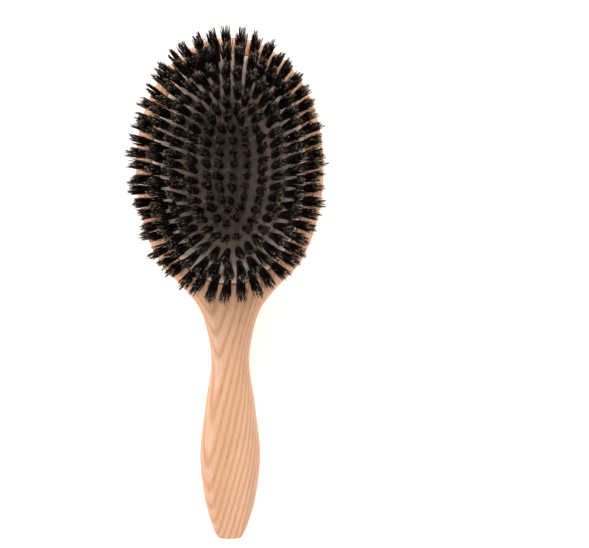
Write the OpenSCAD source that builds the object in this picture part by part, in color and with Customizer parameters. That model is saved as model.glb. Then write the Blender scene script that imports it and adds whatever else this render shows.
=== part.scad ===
// Oval cushion hairbrush, lying on its back.
// A one-piece ash body holds a domed rubber cushion in an undercut pocket.
// Bristle tufts stand on the cushion in six oval rings. Each tuft is folded
// over a flat wire anchor behind the rubber, and a glued cloth seals the back.
// +Z is up, out of the bristle tips, and +Y runs to the crown of the head.
// The origin is under the middle of the brush, on the surface it rests on.

/* [Body] */
// Length from the crown to the end of the handle
body_l = 240; // [230:1:250]
// Width of the head
head_w = 90; // [88:0.5:94]
// Thickness of the head
head_t = 16; // [15:0.5:20]
// Round-over of the head's front edge
front_r = 4.6; // [3:0.1:5]
// Round-over of the head's back edge
back_r = 8; // [5:0.5:9]

/* [Cushion] */
// Width of the cushion where it shows
pad_w = 73; // [70:0.5:74]
// Length of the cushion where it shows
pad_l = 109; // [106:0.5:110]
// Rise of the cushion's crown above its edge
pad_rise = 10; // [6:0.5:11]
// Thickness of the rubber
pad_wall = 2; // [1.6:0.1:2.2]
// Depth of the pocket below the head's front face
pocket_depth = 7.5; // [7:0.5:8.5]
// Gap between the cushion's edge and the wood
edge_gap = 0.4; // [0.2:0.1:0.6]

/* [Bristles] */
// Length of a tuft above the rubber
tuft_l = 21.5; // [14:0.5:24]
// Radius of a tuft's folded end
tuft_root_r = 0.95; // [0.8:0.05:1]
// Radius of a tuft at its tips
tuft_tip_r = 1.85; // [1.4:0.05:1.85]
// Distance from one ring of tufts to the next
ring_pitch = 6.1; // [5.6:0.1:6.1]

/* [Hidden] */
$fn = 48;

// Head outline: two half ovals that share their widest line
head_y = 57.7;
head_up = body_l / 2 - head_y;
head_down = 66.1;
head_power = 2.08;
head_join = -46;
head_steps = 30;

// Handle stations from the head down: y, half width, front and back
// round-over, height of the back and of the front
handle_stations = [
    [-1, 21.3, 5.3, 7.6, 0, 16],
    [-13, 13.3, 6, 7.2, 0.3, 15.8],
    [-34, 9.15, 6.2, 6.4, 1.2, 15.2],
    [-56, 11.9, 6.8, 6.8, 1.2, 15.6],
    [-80, 14.45, 7.2, 7.2, 0.8, 16],
    [-101, 12.15, 5.6, 5.6, 1, 15.4],
    [-113.5, 8.4, 3.2, 3.2, 1.6, 14.6],
];
end_corner_r = 2.4;
end_taper = 25;
end_turn = 83;
end_bow = 0.3;
end_half_w = 6.2;
end_round = 2;
end_back = 1.9;
end_front = 14.2;
curve_steps = 4;
round_steps = 6;
corner_steps = 4;
pocket_foot_steps = 10;

// Cushion: every level is an oval whose length exceeds its width by pad_ridge
pad_y = 56.8;
pad_ridge = pad_l - pad_w;
pad_power = 2.1;
pad_edge_z = head_t + 0.3;
pad_points = 52;
bead_out = 1.3;
bead_top = 2.1;
bead_h = 1.7;
bead_in = 2;
groove_gap = 0.15;
hole_r = 1.35;
hole_reach = 3.4;
vent_r = 0.8;
vent_y = -8;

// Tufts
ring_counts = [16, 24, 34, 40, 46, 52];
ring_first = 3;
root_depth = pad_wall + 0.4;
anchor_l = 3.2;
anchor_w = 1;
anchor_t = 0.4;
anchor_gap = 0.02;
anchor_depth = root_depth + anchor_gap + anchor_t / 2;
cloth_t = 0.35;
cloth_depth = anchor_depth + anchor_t / 2 + 0.35;

function lerp(a, b, f) = a + (b - a) * f;
function power_of(v, p) = sign(v) * pow(abs(v), p);

// A point on an oval of half axes a and b, at angle q
function oval_point(a, b, q, p) =
    [a * power_of(cos(q), 2 / p), b * power_of(sin(q), 2 / p)];

// Catmull-Rom interpolation between the second and third of four stations
function between(s, f) =
    0.5 * (2 * s[1] + (s[2] - s[0]) * f
           + (2 * s[0] - 5 * s[1] + 4 * s[2] - s[3]) * f * f
           + (3 * s[1] - s[0] - 3 * s[2] + s[3]) * f * f * f);

// The head's stations, from the crown to where the handle's curve takes over
function head_station(q) =
    let (e = oval_point(head_w / 2, q > 0 ? head_up : head_down, q, head_power))
    [head_y + e[1], e[0], front_r, back_r, 0, head_t];
function head_angle(i) = 90 - i * (90 - head_join) / head_steps;
head_side = [for (i = [1:head_steps]) head_station(head_angle(i))];

// The handle's stations, down to where the end corner starts
end_corner = [end_half_w - end_corner_r * cos(end_taper), -body_l / 2 + end_bow + end_corner_r];
end_start = [end_corner[1] - end_corner_r * sin(end_taper), end_half_w,
             end_round, end_round, end_back, end_front];
knots = concat([head_station(head_join + 12), head_station(head_join)],
               handle_stations, [end_start],
               [end_start + (end_start - handle_stations[6]) * 0.6]);
handle_side = [for (i = [1:len(knots) - 3]) for (step = [1:curve_steps])
    let (s = between([for (k = [-1:2]) knots[i + k]], step / curve_steps))
    [s[0], s[1], s[2], s[3], max(0, s[4]), min(head_t, s[5])]];

// The end corner turns from the taper to the nearly flat end
corner_side = [for (i = [1:corner_steps])
    let (q = -end_taper - i * (end_turn - end_taper) / corner_steps)
    concat([end_corner[1] + end_corner_r * sin(q), end_corner[0] + end_corner_r * cos(q)],
           [for (k = [2:5]) end_start[k]])];

crown = [body_l / 2, 0, front_r, back_r, 0, head_t];
end_middle = [-body_l / 2, 0, end_round, end_round, end_back, end_front];
right_side = concat([crown], head_side, handle_side, corner_side, [end_middle]);
side_n = len(right_side);

// The outline runs down the right side and back up the left
outline = concat(right_side,
    [for (i = [side_n - 2 : -1 : 1]) let (s = right_side[i])
        [s[0], -s[1], s[2], s[3], s[4], s[5]]]);
outline_n = len(outline);

// Inward normal of the outline at point i
function inward(i) =
    let (a = outline[(i + outline_n - 1) % outline_n], b = outline[(i + 1) % outline_n],
         d = [b[1] - a[1], b[0] - a[0]])
    [d[1], -d[0]] / norm(d);

// One level of the body: q is the round-over angle, from the side wall (0)
// to the flat face (90), on the front or the back
function body_level(q, front) = [for (i = [0:outline_n - 1])
    let (s = outline[i], r = front ? s[2] : s[3],
         p = [s[1], s[0]] + inward(i) * r * (1 - cos(q)),
         z = front ? s[5] - r * (1 - sin(q)) : s[4] + r * (1 - sin(q)))
    [p[0], p[1], z]];

// Two triangles for every step along and between levels of n points that
// start at point number base. Their diagonal runs from the narrower level to
// the wider one, so parallel skins match.
function side_faces(levels, n, base = 0) =
    [for (j = [0:len(levels) - 2])
        let (middle = floor(n / 4), widening = levels[j + 1][middle][0] > levels[j][middle][0])
        for (i = [0:n - 1])
            let (a = base + j * n + i, b = base + j * n + (i + 1) % n, c = b + n, d = a + n)
            each widening ? [[a, c, b], [a, d, c]] : [[a, d, b], [b, d, c]]];
// Strips from point i on one side of a level to its mirror point on the
// other, from point first to the far end
function cap_strips(base, n, flip, first = 0) =
    [for (i = [first:n / 2 - 1])
        let (face = i == 0 ? [0, 1, n - 1]
                  : i == n / 2 - 1 ? [i, i + 1, n - i] : [i, i + 1, n - i - 1, n - i])
        [for (k = [0:len(face) - 1]) base + face[flip ? len(face) - 1 - k : k]]];

module loft(levels) {
    n = len(levels[0]);
    faces = concat(side_faces(levels, n), cap_strips(0, n, false),
                   cap_strips((len(levels) - 1) * n, n, true));
    polyhedron(points = [for (l = levels) each l], faces = faces, convexity = 6);
}

// Half width of the pad at share t of the way from its ridge to its edge
function pad_a(t) = t * pad_w / 2;
function pad_top(t) = pad_edge_z + pad_rise * (1 - t * t * t);
function pad_tilt(t) = atan(3 * pad_rise * t * t / (pad_w / 2));

// A level oval of the cushion's family, with its middle at the pocket's.
// It starts and ends on the brush's middle line, as the outline does.
function pad_oval(a, n = pad_points) =
    [for (i = [0:n - 1]) let (e = oval_point(a, a + pad_ridge / 2, 90 - i * 360 / n, pad_power))
        [e[0], pad_y + e[1]]];
function pad_level(a, z) = [for (p = pad_oval(a)) [p[0], p[1], z]];

// A skin parallel to the cushion's outer face, depth below it, at share t
function skin_level(t, depth) =
    pad_level(max(0.4, pad_a(t) - depth * sin(pad_tilt(t))), pad_top(t) - depth * cos(pad_tilt(t)));

// One level of the pocket. Its points stand opposite the head's, and go on
// round the foot of the oval.
pocket_angles = concat([for (i = [0:head_steps]) head_angle(i)],
    [for (i = [1:pocket_foot_steps]) head_join - i * (90 + head_join) / pocket_foot_steps]);
pocket_n = 2 * (len(pocket_angles) - 1);
function pocket_level(a, z) =
    [for (i = [0:pocket_n - 1])
        let (left = i > pocket_n / 2,
             e = oval_point(a, a + pad_ridge / 2, pocket_angles[left ? pocket_n - i : i], pad_power))
        [left ? -e[0] : e[0], pad_y + e[1], z]];

// The face round the pocket joins the head's points to the pocket's. Below
// the pocket it is one polygon, and strips carry on down the handle.
function front_faces(rim) = concat(
    [for (i = [0:head_steps - 1])
        each [[i, i + 1, rim + i + 1, rim + i],
              [outline_n - i - 1, (outline_n - i) % outline_n,
               rim + (pocket_n - i) % pocket_n, rim + pocket_n - i - 1]]],
    [concat([head_steps, outline_n - head_steps],
            [for (i = [pocket_n - head_steps:-1:head_steps]) rim + i])],
    cap_strips(0, outline_n, false, head_steps));

module brush_body() {
    pocket_a = pad_w / 2 + edge_gap;
    groove_a = pad_w / 2 + bead_out + groove_gap;
    groove_top = head_t - bead_top + groove_gap;
    groove_foot = head_t - bead_top - bead_h - groove_gap;
    shell = concat(
        [for (k = [round_steps:-1:0]) body_level(k * 90 / round_steps, true)],
        [for (k = [0:round_steps]) body_level(k * 90 / round_steps, false)]);
    pocket = [pocket_level(pocket_a, head_t - pocket_depth),
              pocket_level(pocket_a, groove_foot), pocket_level(groove_a, groove_foot),
              pocket_level(groove_a, groove_top), pocket_level(pocket_a, groove_top),
              pocket_level(pocket_a, head_t)];
    floor_at = len(shell) * outline_n;
    faces = concat(
        front_faces(floor_at + (len(pocket) - 1) * pocket_n),
        side_faces(shell, outline_n),
        cap_strips((len(shell) - 1) * outline_n, outline_n, true),
        side_faces(pocket, pocket_n, floor_at),
        cap_strips(floor_at, pocket_n, false));
    color("burlywood")
        polyhedron(points = [for (level = concat(shell, pocket)) each level],
                   faces = faces, convexity = 6);
}

module cushion_pad() {
    shares = [0.08, 0.25, 0.42, 0.58, 0.7, 0.8, 0.9, 1];
    color("antiquewhite") difference() {
        pad_shell(shares);
        for (k = [1:6]) for (i = [0:ring_counts[k - 1] - 1])
            tuft_place(k, i) hull() for (s = [-1, 1])
                translate([0, 0, s * hole_reach - pad_wall / 2])
                    cylinder(r = hole_r, h = 0.2, center = true, $fn = 6);
        translate([0, pad_y + vent_y, pad_edge_z]) cylinder(r = vent_r, h = 20, $fn = 12);
    }
}

// The rubber before its holes: outer skin, edge, bead, and inner skin
module pad_shell(shares) {
    edge_a = pad_w / 2;
    bead_z = head_t - bead_top;
    levels = concat(
        [for (t = shares) skin_level(t, 0)],
        [pad_level(edge_a, bead_z),
         pad_level(edge_a + bead_out, bead_z),
         pad_level(edge_a + bead_out, bead_z - bead_h),
         pad_level(edge_a - bead_in, bead_z - bead_h)],
        [for (k = [len(shares) - 1 : -1 : 0]) skin_level(shares[k], pad_wall)]);
    loft(levels);
}

module backing_cloth() {
    shares = [0.08, 0.25, 0.42, 0.58, 0.7, 0.8, ring_a(6) * 2 / pad_w];
    rim_a = pad_w / 2 - bead_in - 0.15;
    rim_z = head_t - bead_top - bead_h;
    color("tan") loft(concat(
        [for (t = shares) skin_level(t, cloth_depth)],
        [pad_level(rim_a, rim_z + cloth_t), pad_level(rim_a, rim_z)],
        [for (k = [len(shares) - 1 : -1 : 0]) skin_level(shares[k], cloth_depth + cloth_t)]));
}

// Rings of tufts follow the cushion's level ovals
function ring_a(k) = ring_first + (k - 1) * ring_pitch;
function ring_share(k) = ring_a(k) / (pad_w / 2);

// Points spaced evenly by arc length round ring k, each with its outward angle
ring_samples = 360;
function running(v, i = 0, sum = 0) =
    i == len(v) ? [sum] : concat([sum], running(v, i + 1, sum + v[i]));
ring_tables = [for (k = [1:6])
    let (pts = pad_oval(ring_a(k), ring_samples),
         steps = [for (i = [0:ring_samples - 1]) norm(pts[(i + 1) % ring_samples] - pts[i])])
    [pts, running(steps)]];
function tuft_spot(k, i) =
    let (pts = ring_tables[k - 1][0], along = ring_tables[k - 1][1],
         want = i / ring_counts[k - 1] * along[ring_samples],
         j = len([for (s = along) if (s <= want) 1]) - 1,
         a = pts[j % ring_samples], b = pts[(j + 1) % ring_samples],
         f = (want - along[j]) / norm(b - a))
    [lerp(a[0], b[0], f), lerp(a[1], b[1], f), atan2(a[0] - b[0], b[1] - a[1]) + 180];

// Puts a child on the rubber at tuft i of ring k, with +Z along the tuft and
// +X across the ring
module tuft_place(k, i) {
    spot = tuft_spot(k, i);
    t = ring_share(k);
    translate([spot[0], spot[1], pad_top(t)])
        rotate([0, 0, spot[2]]) rotate([0, pad_tilt(t), 0]) children();
}

module tufts_ring(k) {
    color([0.08, 0.07, 0.07])
        for (i = [0:ring_counts[k - 1] - 1]) tuft_place(k, i)
            translate([0, 0, -root_depth])
                cylinder(r1 = tuft_root_r, r2 = tuft_tip_r, h = root_depth + tuft_l);
}

module anchors_ring(k) {
    color("silver")
        for (i = [0:ring_counts[k - 1] - 1]) tuft_place(k, i)
            translate([0, 0, -anchor_depth]) cube([anchor_w, anchor_l, anchor_t], center = true);
}

brush_body();
cushion_pad();
backing_cloth();
for (k = [1:6]) {
    tufts_ring(k);
    anchors_ring(k);
}
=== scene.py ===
import math
import random

import bmesh
import bpy
from mathutils import Matrix, Vector, noise
from mathutils.kdtree import KDTree


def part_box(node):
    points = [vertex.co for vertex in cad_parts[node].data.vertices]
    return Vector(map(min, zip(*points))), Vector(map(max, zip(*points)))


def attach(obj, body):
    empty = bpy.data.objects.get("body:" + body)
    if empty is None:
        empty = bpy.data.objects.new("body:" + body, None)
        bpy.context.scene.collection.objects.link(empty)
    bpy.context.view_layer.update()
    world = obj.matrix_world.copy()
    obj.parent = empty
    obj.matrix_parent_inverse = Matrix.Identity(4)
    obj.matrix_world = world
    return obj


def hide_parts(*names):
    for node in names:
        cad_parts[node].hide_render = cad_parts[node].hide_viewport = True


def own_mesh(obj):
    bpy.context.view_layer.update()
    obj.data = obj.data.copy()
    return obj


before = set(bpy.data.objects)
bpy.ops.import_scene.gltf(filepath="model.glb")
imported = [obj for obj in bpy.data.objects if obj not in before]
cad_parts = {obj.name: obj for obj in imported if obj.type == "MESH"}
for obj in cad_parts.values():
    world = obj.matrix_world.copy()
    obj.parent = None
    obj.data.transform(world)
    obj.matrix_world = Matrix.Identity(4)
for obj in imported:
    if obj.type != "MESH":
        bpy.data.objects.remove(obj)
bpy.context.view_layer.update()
MM = 0.001

# ---- Brush body ------------------------------------------------------------
# The head and handle are one board of ash, shaped on a spindle moulder,
# rounded over all round and sanded. A pocket is routed in the head for the
# cushion, with a groove that its bead snaps into. The wood is oiled.

BODY_L = (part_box("brush_body")[1].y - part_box("brush_body")[0].y) / MM
HEAD_W = (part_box("brush_body")[1].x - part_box("brush_body")[0].x) / MM
HEAD_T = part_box("brush_body")[1].z / MM
FRONT_R = 4.6
BACK_R = 8
HEAD_Y = 57.7
HEAD_UP = BODY_L / 2 - HEAD_Y
HEAD_DOWN = 66.1
HEAD_POWER = 2.08
HEAD_JOIN = -46
HEAD_STEPS = 60
CURVE_STEPS = 12
CORNER_STEPS = 8
ROUND_STEPS = 10

# Handle stations down from the head: y, half width, front and back
# round-over, height of the back and of the front, all in mm
HANDLE = [
    (-1, 21.3, 5.3, 7.6, 0, 16),
    (-13, 13.3, 6, 7.2, 0.3, 15.8),
    (-34, 9.15, 6.2, 6.4, 1.2, 15.2),
    (-56, 11.9, 6.8, 6.8, 1.2, 15.6),
    (-80, 14.45, 7.2, 7.2, 0.8, 16),
    (-101, 12.15, 5.6, 5.6, 1, 15.4),
    (-113.5, 8.4, 3.2, 3.2, 1.6, 14.6),
]
END_CORNER_R = 2.4
END_TAPER = 25
END_TURN = 83
END_BOW = 0.3
END_HALF_W = 6.2
END_SHAPE = (2, 2, 1.9, 14.2)

# The cushion's ovals: each is longer than it is wide by the same ridge
PAD_Y = 56.8
PAD_RIDGE = 36
PAD_POWER = 2.1
PAD_HALF_W = 36.5
POCKET_HALF_W = 36.9
POCKET_DEPTH = 7.5
GROOVE_HALF_W = 37.95
GROOVE_Z = (12.05, 14.05)
RIM_EASE = 0.7
# The eased rim's arc, out and down as shares of RIM_EASE
RIM_ARC = [(1, -0.02 / RIM_EASE), (0.5, 0.14), (0.14, 0.5), (0, 1)]
ROUTER_CLEAR = 1
SHARP_ANGLE = math.radians(40)
PAD_STEPS = 120


def oval_point(a, b, angle, power):
    """A point on an oval of half axes a and b, as a superellipse."""
    c, s = math.cos(angle), math.sin(angle)
    return (
        math.copysign(a * abs(c) ** (2 / power), c),
        math.copysign(b * abs(s) ** (2 / power), s),
    )


def catmull_rom(a, b, c, d, f):
    """The smooth curve through four stations, between the second and third."""
    return tuple(
        0.5 * (2 * q + (r - p) * f + (2 * p - 5 * q + 4 * r - s) * f * f + (3 * q - p - 3 * r + s) * f**3)
        for p, q, r, s in zip(a, b, c, d)
    )


def head_station(degrees):
    """The station of the head's outline at an angle up from its widest line."""
    b = HEAD_UP if degrees > 0 else HEAD_DOWN
    x, y = oval_point(HEAD_W / 2, b, math.radians(degrees), HEAD_POWER)
    return (HEAD_Y + y, x, FRONT_R, BACK_R, 0, HEAD_T)


def body_side():
    """Stations down the right side, from the crown to the middle of the end."""
    step = (90 - HEAD_JOIN) / HEAD_STEPS
    head = [head_station(90 - i * step) for i in range(1, HEAD_STEPS + 1)]
    taper, turn = math.radians(END_TAPER), math.radians(END_TURN)
    corner = (END_HALF_W - END_CORNER_R * math.cos(taper), -BODY_L / 2 + END_BOW + END_CORNER_R)
    end_start = (corner[1] - END_CORNER_R * math.sin(taper), END_HALF_W, *END_SHAPE)
    past_end = tuple(a + 0.6 * (a - b) for a, b in zip(end_start, HANDLE[-1]))
    knots = [head_station(HEAD_JOIN + 12), head_station(HEAD_JOIN), *HANDLE, end_start, past_end]
    handle = [
        catmull_rom(*knots[i - 1 : i + 3], step / CURVE_STEPS)
        for i in range(1, len(knots) - 2)
        for step in range(1, CURVE_STEPS + 1)
    ]
    handle = [(y, w, f, b, max(0, back), min(HEAD_T, front)) for y, w, f, b, back, front in handle]
    corners = []
    for i in range(1, CORNER_STEPS + 1):
        q = -taper - i * (turn - taper) / CORNER_STEPS
        y, w = corner[1] + END_CORNER_R * math.sin(q), corner[0] + END_CORNER_R * math.cos(q)
        corners.append((y, w, *END_SHAPE))
    crown = (BODY_L / 2, 0, FRONT_R, BACK_R, 0, HEAD_T)
    return [crown, *head, *handle, *corners, (-BODY_L / 2, 0, *END_SHAPE)]


def body_levels():
    """Closed levels of points, from the front face round the side to the back."""
    right = body_side()
    outline = right + [(s[0], -s[1], *s[2:]) for s in right[-2:0:-1]]
    n = len(outline)
    inward = []
    for i in range(n):
        a, b = outline[i - 1], outline[(i + 1) % n]
        d = Vector((b[1] - a[1], b[0] - a[0])).normalized()
        inward.append((d.y, -d.x))

    def level(angle, front):
        points = []
        for (y, x, front_r, back_r, back, face), (nx, ny) in zip(outline, inward):
            r = front_r if front else back_r
            inset, drop = r * (1 - math.cos(angle)), r * (1 - math.sin(angle))
            z = face - drop if front else back + drop
            points.append(Vector((x + nx * inset, y + ny * inset, z)) * MM)
        return points

    angles = [math.radians(90 * k / ROUND_STEPS) for k in range(ROUND_STEPS + 1)]
    return [level(a, True) for a in reversed(angles)] + [level(a, False) for a in angles]


def pad_level(a, z, steps=PAD_STEPS):
    """A level oval of the cushion's family, as points that start at the top."""
    points = []
    for i in range(steps):
        x, y = oval_point(a, a + PAD_RIDGE / 2, math.radians(90 - i * 360 / steps), PAD_POWER)
        points.append(Vector((x, PAD_Y + y, z)) * MM)
    return points


def loft(bm, levels):
    """Extrudes a first ring of points through the other levels; returns the rings of vertices."""
    ring = bmesh.ops.create_circle(bm, segments=len(levels[0]), radius=1)["verts"]
    for v, p in zip(ring, levels[0]):
        v.co = p
    rings = [ring]
    for points in levels[1:]:
        edges = [bm.edges.get((a, b)) for a, b in zip(ring, ring[1:] + ring[:1])]
        made = bmesh.ops.extrude_edge_only(bm, edges=edges)["geom"]
        new = {v for v in made if isinstance(v, bmesh.types.BMVert)}
        ring = [next(e.other_vert(v) for e in v.link_edges if e.other_vert(v) in new) for v in ring]
        for v, p in zip(ring, points):
            v.co = p
        rings.append(ring)
    return rings


def close_across(bm, ring):
    """Closes a ring that is the same on both sides of the middle with strips across it."""
    half = len(ring) // 2
    right, left = ring[1:half], ring[:half:-1]
    chains = [bm.edges.get((a, b)) for side in (right, left) for a, b in zip(side, side[1:])]
    bmesh.ops.bridge_loops(bm, edges=chains)
    bmesh.ops.contextual_create(bm, geom=[ring[0], ring[1], ring[-1]])
    bmesh.ops.contextual_create(bm, geom=[ring[half], ring[half - 1], ring[half + 1]])


def new_piece(name, bm):
    """Makes a bmesh an object of the scene, at the origin, with its faces pointing out."""
    bmesh.ops.recalc_face_normals(bm, faces=bm.faces)
    mesh = bpy.data.meshes.new(name)
    bm.to_mesh(mesh)
    bm.free()
    for face in mesh.polygons:
        face.use_smooth = True
    piece = bpy.data.objects.new(name, mesh)
    bpy.context.scene.collection.objects.link(piece)
    return piece


def apply_modifiers(piece):
    """Keeps a piece's mesh as its modifiers leave it."""
    shaped = piece.evaluated_get(bpy.context.evaluated_depsgraph_get())
    piece.data = bpy.data.meshes.new_from_object(shaped)
    piece.modifiers.clear()


def make_body():
    """The rounded board, with the pocket, its groove and its eased rim cut into the head."""
    bm = bmesh.new()
    rings = loft(bm, body_levels())
    close_across(bm, rings[0])
    close_across(bm, rings[-1])
    body = new_piece("wooden_body", bm)
    bm = bmesh.new()
    cutter = [(POCKET_HALF_W + RIM_EASE, HEAD_T + ROUTER_CLEAR)]
    cutter += [(POCKET_HALF_W + RIM_EASE * out, HEAD_T - RIM_EASE * down) for out, down in RIM_ARC]
    cutter += [
        (POCKET_HALF_W, GROOVE_Z[1]),
        (GROOVE_HALF_W, GROOVE_Z[1]),
        (GROOVE_HALF_W, GROOVE_Z[0]),
        (POCKET_HALF_W, GROOVE_Z[0]),
        (POCKET_HALF_W, HEAD_T - POCKET_DEPTH),
    ]
    rings = loft(bm, [pad_level(a, z) for a, z in cutter])
    close_across(bm, rings[0])
    close_across(bm, rings[-1])
    router = new_piece("router", bm)
    cut = body.modifiers.new("pocket", "BOOLEAN")
    cut.object = router
    cut.solver = "EXACT"
    apply_modifiers(body)
    bpy.data.objects.remove(router)
    shade = body.modifiers.new("flat_faces_first", "WEIGHTED_NORMAL")
    shade.keep_sharp = True
    body.data.set_sharp_from_angle(angle=SHARP_ANGLE)
    return body


def linear(text):
    """An sRGB hex colour as linear red, green, blue and alpha."""
    parts = [int(text[i : i + 2], 16) / 255 for i in (0, 2, 4)]
    return [c / 12.92 if c <= 0.04045 else ((c + 0.055) / 1.055) ** 2.4 for c in parts] + [1.0]


def grey(share):
    """A grey for a mask, as linear red, green, blue and alpha."""
    return (share, share, share, 1)


def node(material, kind, settings=None, out=0, **inputs):
    """Adds a node and returns one of its outputs.

    settings are the node's own properties, or a ramp's stops, each a place and
    a colour. inputs are its sockets, by name or by i and their number, and
    hold values or other nodes' outputs.
    """
    tree = material.node_tree
    made = tree.nodes.new(kind)
    for name, value in (settings or {}).items():
        if name != "stops":
            setattr(made, name, value)
        else:
            points = made.color_ramp.elements
            while len(points) < len(value):
                points.new(0.5)
            for point, (place, colour) in zip(points, value):
                point.position = place
                point.color = colour
    for name, value in inputs.items():
        numbered = name[0] == "i" and name[1:].isdigit()
        socket = made.inputs[int(name[1:]) if numbered else name.replace("_", " ")]
        if isinstance(value, bpy.types.NodeSocket):
            tree.links.new(value, socket)
        else:
            socket.default_value = value
    return made.outputs[out] if made.outputs else None


def new_material(name):
    """A material with no nodes yet."""
    material = bpy.data.materials.new(name)
    material.use_nodes = True
    material.node_tree.nodes.clear()
    return material


def surface(material, **inputs):
    """Ends a material in a Principled surface."""
    shader = node(material, "ShaderNodeBsdfPrincipled", **inputs)
    node(material, "ShaderNodeOutputMaterial", Surface=shader)


# Where the pith runs in the board, in metres, and how it leans to the handle.
# The board was sawn a few degrees off its grain, so the growth lines lean
# across the handle, and close in arches where the face lies over the pith.
PITH_PLACE = (0.011, 0, -0.044)
PITH_LEAN = (math.radians(3.2), 0, math.radians(9))
# The wave's scale that puts the growth rings 1.8 mm apart
RING_SCALE = 175


def oiled_ash():
    """Oiled, sanded ash: pale, with long arched growth lines and short dark pores along them."""
    m = new_material("oiled_ash")
    place = node(m, "ShaderNodeTexCoord", out="Object")
    board = node(m, "ShaderNodeMapping", Vector=place, Location=PITH_PLACE, Rotation=PITH_LEAN)

    def streaks(across, along, detail):
        """Noise drawn out along the grain, with so many features per metre each way."""
        drawn_out = node(m, "ShaderNodeMapping", Vector=board, Scale=(across, along, across))
        return node(m, "ShaderNodeTexNoise", Vector=drawn_out, Scale=1, Detail=detail)

    wander = streaks(45, 11, 3)
    shift = node(m, "ShaderNodeMath", {"operation": "MULTIPLY"}, i0=wander, i1=7)
    growth = {"wave_type": "RINGS", "rings_direction": "Y", "wave_profile": "SAW"}
    rings = node(m, "ShaderNodeTexWave", growth, out="Fac", Vector=board, Scale=RING_SCALE,
                 Distortion=1.6, Detail=1.5, Detail_Scale=0.12, Phase_Offset=shift)
    early_wood = [(0, grey(0.15)), (0.4, grey(0.05)), (0.72, grey(0.85)), (0.88, grey(0.6)), (1, grey(0.15))]
    early = node(m, "ShaderNodeValToRGB", {"stops": early_wood}, Fac=rings)
    broad = streaks(60, 9, 3)
    fibre = streaks(2200, 60, 3)
    pores = streaks(3400, 190, 1)
    pore_mask = node(m, "ShaderNodeValToRGB", {"stops": [(0.6, grey(0)), (0.72, grey(1))]}, Fac=pores)
    pale = node(m, "ShaderNodeValToRGB", {"stops": [(0.3, linear("F2C6A6")), (0.7, linear("E6B18C"))]},
                Fac=broad)
    line = node(m, "ShaderNodeMix", {"data_type": "RGBA"}, out=2, Factor=early, i6=pale, i7=linear("D6986C"))
    fibres = node(m, "ShaderNodeValToRGB", {"stops": [(0.3, linear("E6D9CE")), (0.7, linear("FFFFFF"))]},
                  Fac=fibre)
    grainy = node(m, "ShaderNodeMix", {"data_type": "RGBA", "blend_type": "MULTIPLY"}, out=2, Factor=0.5,
                  i6=line, i7=fibres)
    # The early wood of each ring is where most of the pores are
    in_lines = node(m, "ShaderNodeMath", {"operation": "MULTIPLY_ADD"}, i0=early, i1=0.5, i2=0.12)
    pore = node(m, "ShaderNodeMath", {"operation": "MULTIPLY"}, i0=pore_mask, i1=in_lines)
    colour = node(m, "ShaderNodeMix", {"data_type": "RGBA"}, out=2, Factor=pore,
                  i6=grainy, i7=linear("94623F"))
    height = node(m, "ShaderNodeMath", {"operation": "MULTIPLY_ADD"}, i0=pore, i1=-1.4, i2=fibre)
    bump = node(m, "ShaderNodeBump", Strength=0.25, Distance=0.00012, Height=height)
    rough = node(m, "ShaderNodeMapRange", Value=early, i3=0.42, i4=0.55)
    surface(m, Base_Color=colour, Roughness=rough, IOR=1.5, Normal=bump)
    return m


body = make_body()
body.data.materials.clear()
body.data.materials.append(oiled_ash())
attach(body, "brush_frame")
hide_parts("brush_body")

# ---- Cushion ---------------------------------------------------------------
# The cushion is one moulding of pale natural rubber: a domed skin that air
# holds up, with a bead round its edge that snaps into the groove in the wood.
# Each tuft is pulled down into the skin, which puckers round it.

PAD_RISE = 10
PAD_EDGE_Z = HEAD_T + 0.3
PAD_WALL = 2
RING_COUNTS = [16, 24, 34, 40, 46, 52]
RING_FIRST = 3
RING_PITCH = 6.1


def pad_top(share):
    """Height of the skin, at a share of the way from its crown to its edge."""
    return PAD_EDGE_Z + PAD_RISE * (1 - share**3)


def pad_tilt(share):
    """How far the skin leans outwards there, in radians."""
    return math.atan(3 * PAD_RISE * share * share / PAD_HALF_W)


def ring_share(k):
    """How far out ring k's tufts stand, as a share of the way to the edge."""
    return (RING_FIRST + k * RING_PITCH) / PAD_HALF_W


def ring_spots(k):
    """Where ring k's tufts stand on the skin, and which way each leans out, in mm."""
    samples = 720
    points = [p / MM for p in pad_level(ring_share(k) * PAD_HALF_W, 0, samples)]
    run = [0.0]
    for a, b in zip(points, points[1:] + points[:1]):
        run.append(run[-1] + (b - a).length)
    spots = []
    j = 0
    for i in range(RING_COUNTS[k]):
        want = i / RING_COUNTS[k] * run[-1]
        while run[j + 1] <= want:
            j += 1
        a, b = points[j], points[(j + 1) % samples]
        spot = a.lerp(b, (want - run[j]) / (b - a).length)
        out = Vector((a.y - b.y, b.x - a.x, 0)).normalized()
        spots.append((spot, out))
    return spots


TUFT_SPOTS = [ring_spots(k) for k in range(len(RING_COUNTS))]
DOME_STEPS = 64
DOME_AROUND = 240
PUCKER_R = 1.5
PUCKER_DEPTH = 0.75
# The skin is uneven by this much, in waves about 3 mm long. It isn't near its edge.
RIPPLE = 0.18
RIPPLES_PER_MM = 0.35
EVEN_EDGE = 1.2
# The bead's corners: half width and height, in mm
BEAD = [(36.4, 16.2), (36.5, 13.9), (37.75, 13.9), (37.75, 12.25), (34.6, 12.25), (34.9, 15.5)]


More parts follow.
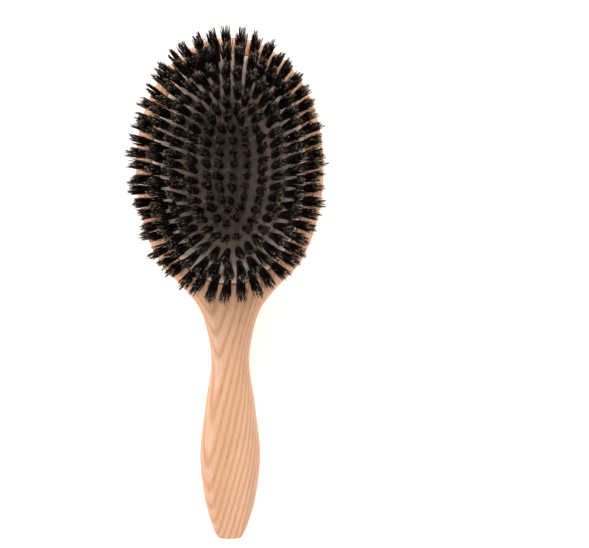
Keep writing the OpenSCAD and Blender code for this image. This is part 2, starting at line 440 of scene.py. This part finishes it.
def make_dome():
    """The domed skin, puckered at every tuft, with the wall's thickness behind it."""
    levels = []
    for i in range(DOME_STEPS):
        share = 1 - i / DOME_STEPS
        levels.append(pad_level(share * PAD_HALF_W, pad_top(share), DOME_AROUND))
    bm = bmesh.new()
    rings = loft(bm, levels)
    close_across(bm, rings[-1])
    spots = [spot for ring in TUFT_SPOTS for spot, out in ring]
    tree = KDTree(len(spots))
    for i, spot in enumerate(spots):
        tree.insert((spot.x, spot.y, 0), i)
    tree.balance()
    # The puckers dent the outer skin only, so the wires behind stay clear of the inner one
    outer_skin = bm.verts[:]
    bmesh.ops.recalc_face_normals(bm, faces=bm.faces)
    bmesh.ops.solidify(bm, geom=bm.faces, thickness=PAD_WALL * MM)
    for v in outer_skin:
        x, y = v.co.x / MM, v.co.y / MM
        near = tree.find((x, y, 0))[2]
        sag = PUCKER_DEPTH * math.exp(-((near / PUCKER_R) ** 2))
        ripple = RIPPLE * noise.noise(Vector((x * RIPPLES_PER_MM, y * RIPPLES_PER_MM, 4.0)))
        fade = min(1.0, (v.co.z / MM - PAD_EDGE_Z) / EVEN_EDGE)
        v.co.z -= (sag - ripple) * fade * MM
    return new_piece("cushion_dome", bm)


def make_bead():
    """The cushion's edge, down into the pocket, and the bead that sits in the groove."""
    bm = bmesh.new()
    loft(bm, [pad_level(a, z, DOME_AROUND) for a, z in BEAD])
    bmesh.ops.bridge_loops(bm, edges=[e for e in bm.edges if e.is_boundary])
    bead = new_piece("cushion_bead", bm)
    bead.data.set_sharp_from_angle(angle=SHARP_ANGLE)
    return bead


def natural_rubber():
    """Pale moulded natural rubber: matt and skin-like, with fine stretch creases that are darkened with
    painted shade, and a dusty bloom.
    """
    m = new_material("moulded_natural_rubber")
    place = node(m, "ShaderNodeTexCoord", out="Object")
    cloud = node(m, "ShaderNodeTexNoise", Vector=place, Scale=70, Detail=4)
    tone = node(m, "ShaderNodeValToRGB", {"stops": [(0.3, linear("E8CCBA")), (0.7, linear("D8B8A4"))]},
                Fac=cloud)
    crease = node(m, "ShaderNodeTexNoise", {"noise_type": "RIDGED_MULTIFRACTAL"}, Vector=place,
                  Scale=420, Detail=3, Distortion=0.8)
    lines = node(m, "ShaderNodeValToRGB", {"stops": [(0.55, grey(0)), (0.95, grey(1))]}, Fac=crease)
    # The creases are bumped, and their colour is darkened towards 8F6E5C as painted shade in them
    painted_crease_shade = node(m, "ShaderNodeMath", {"operation": "MULTIPLY"}, i0=lines, i1=0.5)
    colour = node(m, "ShaderNodeMix", {"data_type": "RGBA"}, out=2, Factor=painted_crease_shade,
                  i6=tone, i7=linear("8F6E5C"))
    dust = node(m, "ShaderNodeTexNoise", Vector=place, Scale=2600, Detail=2)
    grit = node(m, "ShaderNodeMath", {"operation": "MULTIPLY"}, i0=dust, i1=0.25)
    height = node(m, "ShaderNodeMath", {"operation": "MULTIPLY_ADD"}, i0=lines, i1=-0.8, i2=grit)
    bump = node(m, "ShaderNodeBump", Strength=0.8, Distance=0.0005, Height=height)
    rough = node(m, "ShaderNodeMapRange", Value=cloud, i3=0.5, i4=0.66)
    surface(m, Base_Color=colour, Roughness=rough, IOR=1.52, Normal=bump)
    return m


rubber = natural_rubber()
dome, bead = make_dome(), make_bead()
for piece in (dome, bead):
    piece.data.materials.append(rubber)
    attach(piece, "brush_frame")
    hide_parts("cushion_pad")
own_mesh(dome)

# ---- Backing cloth ---------------------------------------------------------
# A piece of cotton drill is stuck over the folded ends of the tufts, inside
# the cushion, so that they can't pull out. It takes the cushion's shape.

CLOTH_DEPTH = 3.6
CLOTH_EDGE = (34.3, 12.35)
CLOTH_T = 0.3
CLOTH_STEPS = 48
# The first steps from the cushion's edge are left to the slope down to CLOTH_EDGE
CLOTH_FIRST = 4
SMALLEST_LEVEL = 0.3


def make_cloth():
    """The cloth, parallel to the cushion's skin, down to the inside of its edge."""
    levels = [pad_level(*CLOTH_EDGE)]
    for i in range(CLOTH_FIRST, CLOTH_STEPS):
        share = 1 - i / CLOTH_STEPS
        tilt = pad_tilt(share)
        a = share * PAD_HALF_W - CLOTH_DEPTH * math.sin(tilt)
        if a > SMALLEST_LEVEL:
            levels.append(pad_level(a, pad_top(share) - CLOTH_DEPTH * math.cos(tilt)))
    bm = bmesh.new()
    rings = loft(bm, levels)
    close_across(bm, rings[-1])
    cloth = new_piece("cloth_backing", bm)
    thick = cloth.modifiers.new("cloth_thickness", "SOLIDIFY")
    thick.thickness = CLOTH_T * MM
    return cloth


def cotton_drill():
    """Unbleached cotton drill: matt, with a twill of fine diagonal ribs, here 1.2 mm apart so they show."""
    m = new_material("unbleached_cotton_drill")
    place = node(m, "ShaderNodeTexCoord", out="Object")
    rib = node(m, "ShaderNodeTexWave", {"bands_direction": "DIAGONAL"}, out="Fac", Vector=place,
               Scale=260, Distortion=0.6)
    slub = node(m, "ShaderNodeTexNoise", Vector=place, Scale=900, Detail=3)
    mixed = node(m, "ShaderNodeMix", {"data_type": "FLOAT"}, Factor=0.5, A=rib, B=slub)
    colour = node(m, "ShaderNodeValToRGB", {"stops": [(0.2, linear("B7A384")), (0.8, linear("DDCFB4"))]},
                  Fac=mixed)
    bump = node(m, "ShaderNodeBump", Strength=0.6, Distance=0.0002, Height=mixed)
    surface(m, Base_Color=colour, Roughness=0.9, Sheen_Weight=0.2, Normal=bump)
    return m


cloth = make_cloth()
cloth.data.materials.append(cotton_drill())
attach(cloth, "brush_frame")
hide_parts("backing_cloth")
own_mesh(cloth)

# ---- Bristle tufts ---------------------------------------------------------
# Each tuft is a bundle of black boar bristle, folded in two over a wire anchor
# and pushed through its hole, so it stands square to the rubber and opens
# towards its tips. The tips are split and bleached brown, and no two are level.
# The palest, straw-coloured tips are painted highlights, glints of light on split ends.

TUFT_L = 21.5
TUFT_SUNK = 0.9
TUFT_ROOT_R = 1.3
TUFT_TIP_R = 2.5
# Tufts near the edge have more room, and are fuller than those in the middle
TUFT_SPREAD = (0.9, 1.1)
TUFT_KINDS = 14
# Tufts lean this many degrees off true, outwards and sideways, and some are shorter
LEAN_SPREAD = 2
SIDE_SPREAD = 2.2
TUFT_STRETCH = (0.94, 1.0)

# The points that a tuft's tips gather in: how far out and how high they are,
# as shares, and how much lower the outermost are
TUFT_POINTS = 9
POINT_OUT = (0.85, 1.15)
POINT_HEIGHT = (0.7, 1.02, 0.97)
POINT_FALL = 0.05

# Hairs: how far their tips keep to themselves and stray, in mm, and which
# share of them strays more. Boar hair is about 0.3 mm thick.
HAIRS = 120
HAIR_R = 0.145
HAIR_HEIGHT = (0.72, 1.02, 1)
HAIR_OWN = 0.35
HAIR_SWAY = 0.3
HAIR_FLARE = 1.1
STRAY = 0.34
STRAY_SHARE = 0.12
STRAY_MORE = 2.6
POINT_CHOICE = 0.6
# Each station of a hair: how far along it, and its width as a share of HAIR_R
HAIR_STEPS = [(0, 1), (0.3, 1), (0.6, 0.95), (0.85, 0.85), (1, 0.6)]
GOLDEN_ANGLE = math.pi * (3 - math.sqrt(5))
rng = random.Random(12)


def make_hair(bm, along, tone, root, tip, height, shade):
    """One tapered three-sided hair from root to tip, which bends outwards as it rises."""
    sway = Vector((rng.uniform(-HAIR_SWAY, HAIR_SWAY), rng.uniform(-HAIR_SWAY, HAIR_SWAY)))
    levels = []
    for f, width in HAIR_STEPS:
        middle = root.lerp(tip, f**HAIR_FLARE) + sway * math.sin(f * math.pi)
        corners = [Matrix.Rotation(i * 2 * math.pi / 3, 2) @ Vector((HAIR_R * width, 0)) for i in range(3)]
        rise = Vector((0, 0, (f * height - TUFT_SUNK) * MM))
        levels.append([(middle + corner).to_3d() * MM + rise for corner in corners])
    rings = loft(bm, levels)
    for (f, width), ring in zip(HAIR_STEPS, rings):
        for v in ring:
            v[along] = f
            v[tone] = shade
    bmesh.ops.contextual_create(bm, geom=rings[0])
    bmesh.ops.contextual_create(bm, geom=rings[-1])


def sunflower(i, count, start):
    """Place i of count spread evenly over a disc of radius 1, and its distance out."""
    out = math.sqrt((i + start) / count)
    return Vector((math.cos(i * GOLDEN_ANGLE), math.sin(i * GOLDEN_ANGLE))) * out, out


def make_tuft_kind():
    """A mesh of one tuft that stands on the origin, along +Z, its tips gathered in a few uneven points."""
    bm = bmesh.new()
    along = bm.verts.layers.float.new("along")
    tone = bm.verts.layers.float.new("tone")
    points = []
    for i in range(TUFT_POINTS):
        spot, out = sunflower(i, TUFT_POINTS, 0.4)
        place = spot * TUFT_TIP_R * rng.uniform(*POINT_OUT)
        points.append((place, rng.triangular(*POINT_HEIGHT) - POINT_FALL * out * out))
    for i in range(HAIRS):
        own = sunflower(i, HAIRS, 0.5)[0]
        place, tall = min(points, key=lambda point: (
            (point[0] - own * TUFT_TIP_R).length + rng.uniform(0, POINT_CHOICE)))
        stray = STRAY if rng.random() > STRAY_SHARE else STRAY_MORE * STRAY
        tip = place.lerp(own * TUFT_TIP_R, HAIR_OWN) + Vector((rng.gauss(0, stray), rng.gauss(0, stray)))
        height = (TUFT_L + TUFT_SUNK) * tall * rng.triangular(*HAIR_HEIGHT)
        make_hair(bm, along, tone, own * TUFT_ROOT_R, tip, height, rng.random())
    mesh = bpy.data.meshes.new("tuft_kind")
    bm.to_mesh(mesh)
    bm.free()
    return mesh


def make_ring_of_tufts(k, kinds):
    """Ring k's tufts as one piece, each of some kind, square to the rubber or nearly so."""
    bm = bmesh.new()
    share = ring_share(k)
    spread = TUFT_SPREAD[0] + (TUFT_SPREAD[1] - TUFT_SPREAD[0]) * share
    for spot, out in TUFT_SPOTS[k]:
        first = len(bm.verts)
        bm.from_mesh(rng.choice(kinds))
        bm.verts.ensure_lookup_table()
        lean = pad_tilt(share) + math.radians(rng.gauss(0, LEAN_SPREAD))
        side = Vector((-out.y, out.x, 0))
        sideways = math.radians(rng.gauss(0, SIDE_SPREAD))
        tilt = Matrix.Rotation(lean, 4, side) @ Matrix.Rotation(sideways, 4, out)
        spin = Matrix.Rotation(rng.uniform(0, 2 * math.pi), 4, "Z")
        stretch = Matrix.Diagonal((spread, spread, rng.uniform(*TUFT_STRETCH), 1))
        place = Matrix.Translation(Vector((spot.x, spot.y, pad_top(share))) * MM)
        bmesh.ops.transform(bm, matrix=place @ tilt @ spin @ stretch, verts=bm.verts[first:])
    return new_piece(f"bristle_ring_{k + 1}", bm)


def boar_bristle():
    """Black boar bristle: a low waxy sheen, with brown split tips that speckle it; the palest, straw-coloured
    tips are painted highlights, glints where split ends catch the light.
    """
    m = new_material("black_boar_bristle")
    along = node(m, "ShaderNodeAttribute", {"attribute_name": "along"}, out="Fac")
    tone = node(m, "ShaderNodeAttribute", {"attribute_name": "tone"}, out="Fac")
    black = [(0, linear("0A0707")), (0.85, linear("150E0C")), (1, linear("3A2418"))]
    shaft = node(m, "ShaderNodeValToRGB", {"stops": black}, Fac=tone)
    # Tip colours: the browns are the split ends' own colour; the pale straw to near white stops are painted
    # highlights, glints on the tips
    tip_tones_and_painted_glints = [(0, linear("0E0908")), (0.55, linear("1E130E")), (0.74, linear("8E6144")),
                (0.88, linear("E8BC98")), (1, linear("F8E2CC"))]
    tips = node(m, "ShaderNodeValToRGB", {"stops": tip_tones_and_painted_glints}, Fac=tone)
    at_tip = node(m, "ShaderNodeValToRGB", {"stops": [(0.95, grey(0)), (0.99, grey(1))]}, Fac=along)
    colour = node(m, "ShaderNodeMix", {"data_type": "RGBA"}, out=2, Factor=at_tip, i6=shaft, i7=tips)
    surface(m, Base_Color=colour, Roughness=0.42, IOR=1.55)
    return m


bristle = boar_bristle()
tuft_kinds = [make_tuft_kind() for _ in range(TUFT_KINDS)]
for k in range(len(RING_COUNTS)):
    ring = make_ring_of_tufts(k, tuft_kinds)
    ring.data.materials.clear()
    ring.data.materials.append(bristle)
    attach(ring, f"ring_{k + 1}")
    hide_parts(f"tufts_ring_{k + 1}")

# ---- Anchors ---------------------------------------------------------------
# Short lengths of flat drawn steel wire, driven across the folds behind the
# rubber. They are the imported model's own shapes and get only their finish.


def drawn_wire():
    """Drawn steel wire: grey and fairly bright, with fine die lines along it."""
    m = new_material("drawn_steel_wire")
    place = node(m, "ShaderNodeTexCoord", out="Object")
    lines = node(m, "ShaderNodeTexNoise", Vector=place, Scale=4000, Detail=2)
    rough = node(m, "ShaderNodeMapRange", Value=lines, i3=0.25, i4=0.45)
    colour = node(m, "ShaderNodeValToRGB", {"stops": [(0.3, linear("A9A9A7")), (0.7, linear("C8C8C6"))]},
                  Fac=lines)
    surface(m, Base_Color=colour, Metallic=1.0, Roughness=rough)
    return m


wire = drawn_wire()
for k in range(len(RING_COUNTS)):
    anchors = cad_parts[f"anchors_ring_{k + 1}"]
    anchors.data.materials.clear()
    anchors.data.materials.append(wire)

# ---- Studio ----------------------------------------------------------------
# A lit white table top with six large softboxes standing round it, so that the
# light comes from the sides and little of it reaches down between the tufts.

CAMERA_PLACE = (31, 6.8, 460)
LENS = 57.2
TABLE_GLOW = 0.4
WORLD = 0.3
TABLE_SIZE = 6
SOFTBOXES = 6
SOFTBOX_SIZE = (1.3, 0.9)
SOFTBOX_AWAY = 1.6
SOFTBOX_UP = 1.15
SOFTBOX_W = 10.2
# The softboxes at the crown's left are the brightest
KEY_TURN = math.radians(125)
KEY_SHARE = 0.5

bpy.ops.mesh.primitive_plane_add(size=TABLE_SIZE)
table = bpy.context.active_object
table.name = "white_table"
paper = new_material("white_table_top")
grit = node(paper, "ShaderNodeTexNoise", Scale=600, Detail=2)
white = node(paper, "ShaderNodeValToRGB", {"stops": [(0, linear("F6F6F6")), (1, linear("FFFFFF"))]}, Fac=grit)
surface(paper, Base_Color=white, Roughness=0.8, Emission_Color=(1, 1, 1, 1), Emission_Strength=TABLE_GLOW)
table.data.materials.append(paper)

world = bpy.data.worlds.new("dim_room")
world.use_nodes = True
world.node_tree.nodes["Background"].inputs["Color"].default_value = (1, 1, 1, 1)
world.node_tree.nodes["Background"].inputs["Strength"].default_value = WORLD
bpy.context.scene.world = world

for i in range(SOFTBOXES):
    turn = (i + 0.5) * 2 * math.pi / SOFTBOXES
    light = bpy.data.lights.new(f"softbox_{i + 1}", "AREA")
    light.shape = "RECTANGLE"
    light.size, light.size_y = SOFTBOX_SIZE
    light.energy = SOFTBOX_W * (1 + KEY_SHARE * math.cos(turn - KEY_TURN))
    lamp = bpy.data.objects.new(light.name, light)
    lamp.location = (math.cos(turn) * SOFTBOX_AWAY, math.sin(turn) * SOFTBOX_AWAY, SOFTBOX_UP)
    lamp.rotation_euler = lamp.location.to_track_quat("Z", "Y").to_euler()
    bpy.context.scene.collection.objects.link(lamp)

camera = bpy.data.objects.new("camera", bpy.data.cameras.new("camera"))
camera.location = Vector(CAMERA_PLACE) * MM
camera.data.lens = LENS
camera.data.clip_start = 0.01
bpy.context.scene.collection.objects.link(camera)
bpy.context.scene.camera = camera
bpy.context.scene.view_settings.view_transform = "Standard"
